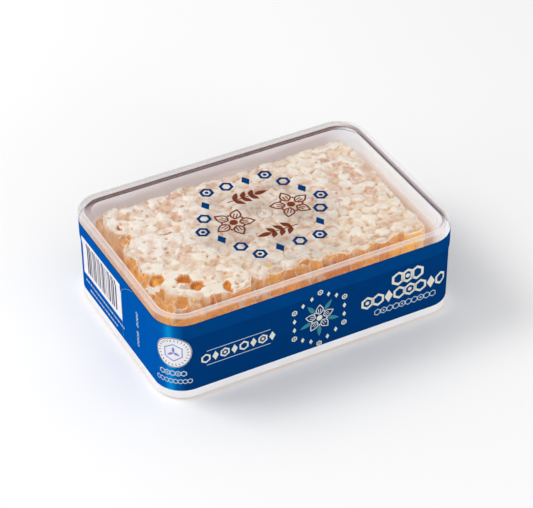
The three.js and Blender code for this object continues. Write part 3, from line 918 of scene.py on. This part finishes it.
def face_surface(points, cells, torn):
    """Relief of a capped face over its mean level, with the honey, the soak with painted shade, and the
    gold it shows.
    """
    def rough(size, seed):
        return noise(points, size, seed)

    x, y = points.T
    shift = [rough(2.8, seed) * 0.85 + rough(1.2, seed + 2) * 0.3 for seed in (15, 16)]
    from_open = np.linalg.norm(points - OPEN_MIDDLE, axis=1)
    warp = 0.25 + 0.75 * smooth((from_open - 5) / 7) if torn else np.ones(len(points))
    warped = points + np.column_stack(shift) * warp[:, None]
    order, wall, fork = nearest_cells(warped, cells)
    mine, other = order[:, 0], order[:, 1]
    own = {key: column[mine] for key, column in cells.items()}
    offset = warped - np.column_stack([own["x"], own["y"]])

    # Caps are domes between grooves, crumpled and here and there pitted where three cells meet.
    puffy = smooth((x + 22) / 34)
    crumple = 0.22 * rough(3.6, 1) + 0.06 * rough(0.8, 2)
    crumple -= 0.16 * np.abs(rough(2.1, 3)) - 0.09 * rough(1.4, 4)
    crumple += (1 - puffy) * (0.24 * rough(2.5, 35) - 0.16 * np.abs(rough(1.8, 17)))
    rise = np.clip(wall / (1.3 + 0.8 * own["wet"]), 0, 1)
    dome = rise * (2 - rise)
    cap = own["level"] + offset[:, 0] * own["tilt_x"] + offset[:, 1] * own["tilt_y"]
    seam = 0.7 * pair_share(mine, other, 1) + 0.15 + 0.5 * rough(2.2, 5)
    groove = 0.03 + (0.36 + 0.14 * puffy) * smooth((seam - 0.4) / 0.5)
    joint = (own["level"] + cells["level"][other]) / 2 - groove
    height = blend(joint, cap, dome) + crumple
    triple = pair_share(mine, order[:, 2], 2)
    pit = smooth((0.7 - fork) / 0.6) * smooth((triple - 0.55) / 0.2)
    height -= 0.9 * pit

    # Some caps lie wet on the honey, and a painted shade in the soaked colour falls along the front
    # flank of the puffy ones.
    soak_and_shade = np.maximum(
        spots(points, WET_PATCHES) if torn else 0,
        0.55 * smooth((own["wet"] - 0.91) / 0.05) * smooth((wall + 0.5 * rough(1.2, 30)) / 0.6))
    toward_front = offset @ (0.35, -0.94) / np.maximum(np.linalg.norm(offset, axis=1), 0.1)
    shade_crescent = smooth((toward_front - 0.15) / 0.6) * smooth((0.8 - wall) / 0.5) * puffy
    shown = 0.7 * pair_share(mine, other, 4) + 0.6 * rough(2.4, 34)
    shade_crescent *= smooth((shown - 0.35) / 0.3)
    soak_and_shade = np.maximum(soak_and_shade, 0.9 * shade_crescent)
    height -= 0.25 * soak_and_shade * dome + 0.15 * shade_crescent
    gold = 0.25 + 0.35 * smooth((8 - y) / 34) + 0.2 * rough(7.0, 8)
    gold = np.maximum(gold, spots(points, GOLD_SPOTS))

    # Open cells and torn holes show honey below the face.
    opened = own["open"] * smooth((wall - 0.16) / 0.25)
    bared = own["open"] * smooth((wall - 0.06) / 0.16)
    if torn:
        inward = holes_at(warped)
        opened = np.maximum(opened, smooth(inward / 0.25))
        bared = np.maximum(bared, smooth((inward + 0.06) / 0.1))
    height = blend(height, HONEY_LEVEL + 0.3 * rough(2.2, 6), opened)
    honey = np.maximum(bared, 0.6 * pit)
    gold = blend(gold, 0.12 + 0.22 * rough(1.6, 9), bared)
    if not torn:
        return height, honey, soak_and_shade, gold

    # Past the torn edge the caps end in a lip, then walls in stubs and pools of honey.
    reach = np.minimum(y - tear(x, True), x - tear(y, False))
    margin = smooth((3.2 - reach) / 2.4) * smooth(0.7 + rough(1.9, 36))
    soak_and_shade = np.maximum(soak_and_shade, 0.6 * margin)
    gold = np.maximum(gold, 0.75 * margin)
    stub = smooth((0.38 - wall) / 0.18)
    crest = -0.3 - 2.2 * pair_share(mine, other, 3) + 0.4 * rough(1.3, 10)
    pool = -1.8 - 2.2 * own["depth"] + 0.40 * np.minimum(reach, 0) + 0.35 * rough(2.3, 11)
    crest = np.maximum(crest + 0.12 * np.minimum(reach, 0), pool + 0.3)
    height = blend(height, blend(pool, crest, stub), smooth((0.12 - reach) / 0.28))
    lip = bell((reach - 0.72) / 0.2) * smooth(0.7 + rough(2.4, 12)) * (1 - opened)
    height += 0.32 * lip
    film = smooth((rough(2.0, 13) + 0.7 * bell((x + 25) / 9) - 0.05) / 0.6)
    bare = 1 - np.clip(0.75 * smooth((0.20 - wall) / 0.1) + 0.12 + 0.5 * film, 0, 0.9)
    bare *= 1 - 0.8 * smooth((y - 17) / 5)
    past = smooth((0.46 - reach) / 0.1)
    honey = np.clip(honey * (1 - past) + bare * past, 0, 1) * (1 - 0.8 * lip)
    honeyed = golden(x) + 0.45 * (own["tone"] - 0.5) + 0.35 * film
    return height, honey, blend(soak_and_shade, CUT_SOAK, past), blend(gold, honeyed, past)


def face_painted_shade(height, spacing, points):
    """Painted light and shade on the wax, with a random tone: lighter where it stands proud and darker
    in the grooves.
    """
    close = (height - blurred(height, max(1, round(0.7 / spacing)))).ravel()
    wide = (height - blurred(height, max(1, round(2.2 / spacing)))).ravel()
    tone = 0.70 + 1.1 * close + 0.8 * np.clip(wide, -0.6, 0.4)
    tone += 0.16 * noise(points, 1.7, 18) + 0.12 * noise(points, 7.0, 19)
    return np.clip(tone, 0, 1)


def outline_grid(spacing):
    """A grid over the slab whose edge follows its rounded outline, and its vertex numbers."""
    low, high = np.array([COMB_LEFT, COMB_FRONT]), np.array([COMB_RIGHT, COMB_BACK])
    u, v = (np.linspace(a, b, int((b - a) / spacing)) for a, b in zip(low, high))
    square = np.stack(np.meshgrid(u, v, indexing="ij"), axis=-1).reshape(-1, 2)
    core = np.clip(square, low + COMB_CORNER, high - COMB_CORNER)
    away = square - core
    length = np.hypot(*away.T)
    share = np.where(length > 0, np.abs(away).max(axis=1) / np.maximum(length, 1e-9), 1)
    points = core + away * share[:, None]
    return points, np.arange(len(points)).reshape(len(u), len(v))


def bitten(points):
    """How far the cut is set back from the slab's straight outline."""
    x, y = points.T
    near_left = smooth((COMB_LEFT + 9 - x) / 6)
    near_right = smooth((x - COMB_RIGHT + 9) / 6)
    notch = 3.4 * bell((y - 16.5) / 5) * near_left
    corner = 1.6 * bell((y + 22) / 9) * near_left
    bulge = 2.0 * smooth((y + 20) / 45) * smooth((COMB_BACK - y) / 12) * near_right
    return notch + corner - bulge + 0.35 * np.sin(x / 5.1 + y / 4.3)


def cut_side(points, z, cells):
    """Set-back of the cut side at height z, where cell walls stand proud of honey, and its look."""
    place = np.column_stack([points, np.full(len(points), z)])

    def rough(size, seed, upright=1):
        return noise(place * (1, 1, upright), size, seed)

    x, y = points.T
    sway = [0.9 * rough(4.0, seed, 0.6) + 0.9 * rough(2.6, seed + 3) for seed in (56, 57)]
    order, wall, _ = nearest_cells(points + np.column_stack(sway), cells)
    mine = order[:, 0]
    whole = smooth(0.55 + 1.3 * rough(2.6, 55))
    ridge = smooth((0.62 - wall) / 0.45) * whole
    ragged = 0.36 * rough(2.6, 51, 0.6) + 0.12 * rough(1.3, 52, 0.9)
    torn = rough(2.4, 53, 0.8) + 0.5 * rough(1.1, 58)
    veiled = bell((x + 25) / 10) + bell((x - 46) / 4)
    sheet = smooth((torn + cells["tone"][mine] + 0.5 * veiled - 0.85) / 0.4)
    depth = 0.75 - 0.8 * ridge - 0.35 * sheet + ragged
    wax = np.clip(0.75 * smooth((0.32 - wall) / 0.2) * whole + 0.6 * sheet + 0.08, 0, 1)
    far = np.maximum(smooth((x + y - 30) / 25), smooth((y - 15) / 5))
    wax = np.maximum(wax, 0.65 * far)
    gold = golden(x) + 0.55 * (cells["wet"][mine] - 0.5) + 0.25 * rough(2.2, 54) + 0.3 * sheet
    return np.clip(depth, -0.25, 1.6), 1 - wax, np.clip(gold, 0, 1)


def follow_edge(flat, moved_edge, loop, shape, reach=3.0):
    """Moves the grid's inside along with its edge, fading over this many millimetres."""
    shift = np.zeros_like(flat)
    shift[loop] = moved_edge - flat[loop]
    grid = shift.reshape(*shape, 2)
    x, y = flat[:, 0].reshape(shape), flat[:, 1].reshape(shape)
    sides = [(x - x[:1], grid[:1]), (x[-1:] - x, grid[-1:]),
             (y - y[:, :1], grid[:, :1]), (y[:, -1:] - y, grid[:, -1:])]
    pull = sum(smooth(1 - inside / reach)[..., None] * moved for inside, moved in sides)
    inner = flat + pull.reshape(-1, 2)
    inner[loop] = moved_edge
    return inner, np.minimum.reduce([inside for inside, _ in sides]).ravel()


def comb_half(name, material, cells, spacing, face_z, up, torn, replaces=None):
    """One side of the comb, from its capped face to the midrib. up is 1, or -1 for the underside."""
    flat, index = outline_grid(spacing)
    loop = np.concatenate([index[:, 0], index[-1, 1:], index[-2::-1, -1], index[0, -2:0:-1]])
    edge = flat[loop]
    tangent = np.roll(edge, -1, axis=0) - np.roll(edge, 1, axis=0)
    outward = unit(np.column_stack([tangent[:, 1], -tangent[:, 0]]))
    back = bitten(edge)

    def edge_at(z):
        depth, honey, gold = cut_side(edge, z, cells)
        return edge - outward * (depth + back)[:, None], honey, gold

    face_edge, _, _ = edge_at(face_z)
    inner, inside = follow_edge(flat, face_edge, loop, index.shape)
    height, honey, soak_and_shade, gold = face_surface(inner, cells, torn)
    worn = blurred(height.reshape(index.shape), 1).ravel()
    height += 0.6 * (worn - height) * (1 - honey)
    tone = face_painted_shade(height.reshape(index.shape), spacing, inner)
    round_width, round_drop = 0.9, 0.6  # the face rounds down to its edge
    lean = 1 - np.sqrt(1 - (1 - np.clip(inside / round_width, 0, 1)) ** 2)
    height -= round_drop * lean * (1 - honey)
    vertices = [np.column_stack([inner, face_z + up * height])]
    looks = [np.column_stack([honey, soak_and_shade, tone, gold])]
    quads = [index[:-1, :-1], index[1:, :-1], index[1:, 1:], index[:-1, 1:]]
    faces = np.stack(quads[::up], axis=-1).reshape(-1, 4).tolist()

    fine_depth, fine_steps, coarse_steps, settling = 8.0, 20, 4, 1.2
    run = abs(MIDRIB - face_z)
    fine = np.linspace(0, fine_depth / run, fine_steps + 1)[1:]
    shares = np.concatenate([fine, np.linspace(fine[-1], 1, coarse_steps + 1)[1:]])
    top_z = face_z + up * height[loop]
    above = loop
    for level, share in enumerate(shares):
        xy, honey, gold = edge_at(float(face_z + (MIDRIB - face_z) * share))
        xy = blend(face_edge, xy, smooth(share * run / settling))
        vertices.append(np.column_stack([xy, blend(top_z, MIDRIB, share)]))
        tone = 0.55 + 0.35 * noise(vertices[-1], 2.0, 14)
        looks.append(np.column_stack([honey, np.full(len(loop), CUT_SOAK), tone, gold]))
        now = index.size + level * len(loop) + np.arange(len(loop))
        band = [above, now, np.roll(now, -1), np.roll(above, -1)]
        faces += np.stack(band[::up], axis=1).tolist()
        above = now
    faces.append(above.tolist()[::-up])
    made = piece(name, np.vstack(vertices), faces, [material], smooth_deg=60,
                 replaces=replaces)
    paint(made, **dict(zip(("honey", "wet", "tone", "gold"), np.clip(np.vstack(looks), 0, 1).T)))


def ribbon(base, rise, thickness, bow):
    """A thin curled strip of wax: base points, the way its free edge lies, and its bow outward."""
    side = unit(np.cross(np.gradient(base, axis=0), rise))
    middle = base + 0.55 * rise + side * bow[:, None]
    tip = base + rise
    half = side * thickness / 2
    rings = np.stack([base - half, middle - half, tip - half * 0.4,
                      tip + half * 0.4, middle + half, base + half], axis=1)
    return rings.reshape(-1, 3), with_ends(np.arange(rings.shape[0] * 6).reshape(-1, 6))


def build_curls(material):
    """Thin wax edges that stand and curl along the torn rim of the caps."""
    vertices, faces, golds = [], [], []

    thickness, spacing = 0.16, 0.35

    def tear_curl(k, start, length, at_front):
        steps = max(8, int(length / spacing))
        u = np.linspace(start, start + length, steps)
        ends = np.sin(np.linspace(0, pi, steps)) ** 0.6
        across = tear(u, at_front) + 0.25 + 0.35 * line_noise(u, 1.1, 61 + k)
        z = COMB_TOP - 0.35 + 0.3 * line_noise(u, 2.2, 62 + k)
        out = -(0.25 + 0.45 * chance(k, 0, 63)) + 0.3 * line_noise(u, 0.9, 64 + k)
        up = 0.35 + (0.75 + 0.5 * line_noise(u, 1.3, 65 + k)) * ends * (0.5 + chance(k, 0, 66))
        flat = np.zeros(steps)
        base = np.column_stack([u, across, z] if at_front else [across, u, z])
        rise = np.column_stack([flat, out, up] if at_front else [out, flat, up])
        points, quads = ribbon(base, rise, thickness, 0.18 * line_noise(u, 1.0, 67 + k))
        first = sum(len(v) for v in vertices)
        vertices.append(points)
        faces.extend([[first + corner for corner in quad] for quad in quads])
        golds.append(np.full(len(points), 0.45 + 0.4 * chance(k, 0, 68)))

    k, x = 0, -24.0
    while x < 46:
        length = 3.5 + 7 * chance(k, 0, 60)
        tear_curl(k, x, min(length, 48.5 - x), True)
        x += length * 0.9
        k += 1
    for start, length in ((-26, 4), (-5, 5), (1, 6), (8, 4), (21, 5), (27, 4)):
        k += 1
        tear_curl(k, start, length, False)
    made = piece("comb_curls", np.vstack(vertices), faces, [material], smooth_deg=60)
    paint(made, honey=0, wet=0, tone=0.85, gold=np.concatenate(golds))


def build_scrap(material):
    """A torn scrap of wax that leans from the caps' left edge to the clear wall."""
    foot_x, slope, crumple = -48.5, 0.2, 0.3

    def scrap_spot(x, y, lift):
        sway = crumple * sin(1.9 * x + 2.6 * y)
        return (x, y, COMB_TOP - slope * (x - foot_x) + sway + lift)

    scrap = Sheet(scrap_spot, low=0.0, high=0.22, grain=0.5)
    scrap.patch([
        (-53.7, -17.5), (-52.7, -17.6), (-51.7, -19.0), (-51.4, -17.6), (-50.2, -17.9),
        (-48.8, -16.6), (-48.4, -15.2), (-49.6, -14.4), (-50.6, -15.0), (-51.2, -13.6),
        (-52.2, -12.9), (-52.3, -14.6), (-53.4, -14.3), (-54.2, -15.4), (-53.2, -16.2),
    ])
    paint(scrap.finish("comb_scrap", material), honey=0, wet=0.1, tone=0.9, gold=0.3)


def build_comb():
    material = comb_material("comb")
    comb_half("comb", material, comb_cells(), FACE_STEP, COMB_TOP, 1, True, "honeycomb")
    comb_half("comb_underside", material, comb_cells(100), UNDERSIDE_STEP,
              COMB_BOTTOM + UNDERSIDE_RELIEF, -1, False)
    build_curls(material)
    build_scrap(material)


# ---- Stage, lights and camera

def build_stage():
    look = Look("studio_floor")
    half = 3.0
    mesh = bpy.data.meshes.new("studio_floor")
    mesh.from_pydata([(-half, -half, 0), (half, -half, 0), (half, half, 0), (-half, half, 0)], [],
                     [(0, 1, 2, 3)])
    mesh.materials.append(look.surface(
        Base_Color=(0.98, 0.975, 0.97), Roughness=0.5, Specular_IOR_Level=0.3,
        Normal=look.bump(look.noise(3.0, 2.0), 0.02, 0.1)))
    floor = placed("studio_floor", mesh)


def soft_light(name, where, size, power):
    """A rectangular soft light aimed at the pack. Places and sizes in metres, power in watts."""
    data = bpy.data.lights.new(name, "AREA")
    data.shape = "RECTANGLE"
    data.size, data.size_y = size
    data.energy = power
    lamp = placed(name, data)
    lamp.location = where
    lamp.rotation_euler = (Vector(where) - Vector((0, 0, 0.02))).to_track_quat("Z", "Y").to_euler()


def build_lights():
    soft_light("key", (-0.6, 0.5, 0.8), (0.5, 0.5), 5.2)
    soft_light("left_fill", (-0.9, 0.0, 0.3), (0.5, 0.3), 0.8)
    soft_light("front_fill", (0.2, -1.0, 0.25), (0.6, 0.3), 3.0)
    world = bpy.data.worlds.new("studio")
    world.use_nodes = True
    sky = world.node_tree.nodes["Background"].inputs
    sky["Color"].default_value = (0.985, 0.99, 1, 1)
    sky["Strength"].default_value = 0.66
    scene = bpy.context.scene
    scene.world = world
    scene.view_settings.view_transform = "Standard"
    scene.cycles.transparent_max_bounces = 32


CAMERA_TURN = (-28.01, 37.45, -0.24)  # azimuth, elevation and roll, in degrees
CAMERA_BACK, CAMERA_RIGHT, CAMERA_UP = 771.4, 0.84, 14.40
FOCAL_PX, IMAGE_PX = 2121.7, 533


def build_camera():
    azimuth, elevation, roll = map(radians, CAMERA_TURN)
    back = Vector((sin(azimuth) * cos(elevation),
                   -cos(azimuth) * cos(elevation), sin(elevation)))
    level_right = Vector((cos(azimuth), sin(azimuth), 0))
    level_up = back.cross(level_right)
    right = cos(roll) * level_right + sin(roll) * level_up
    up = cos(roll) * level_up - sin(roll) * level_right
    data = bpy.data.cameras.new("camera")
    data.sensor_fit = "HORIZONTAL"
    data.lens = FOCAL_PX / IMAGE_PX * data.sensor_width
    camera = placed("camera", data)
    place_at = (back * CAMERA_BACK + right * CAMERA_RIGHT + up * CAMERA_UP) * MM
    turn = Matrix((right, up, back)).transposed().to_4x4()
    camera.matrix_world = Matrix.Translation(place_at) @ turn
    bpy.context.scene.camera = camera


build_box()
build_label()
build_comb()
build_lid_print()
build_lid_marks(clear_plastic("clear_decal", (0.95, 0.83, 0.80)))
build_label_print()
build_stage()
build_lights()
build_camera()
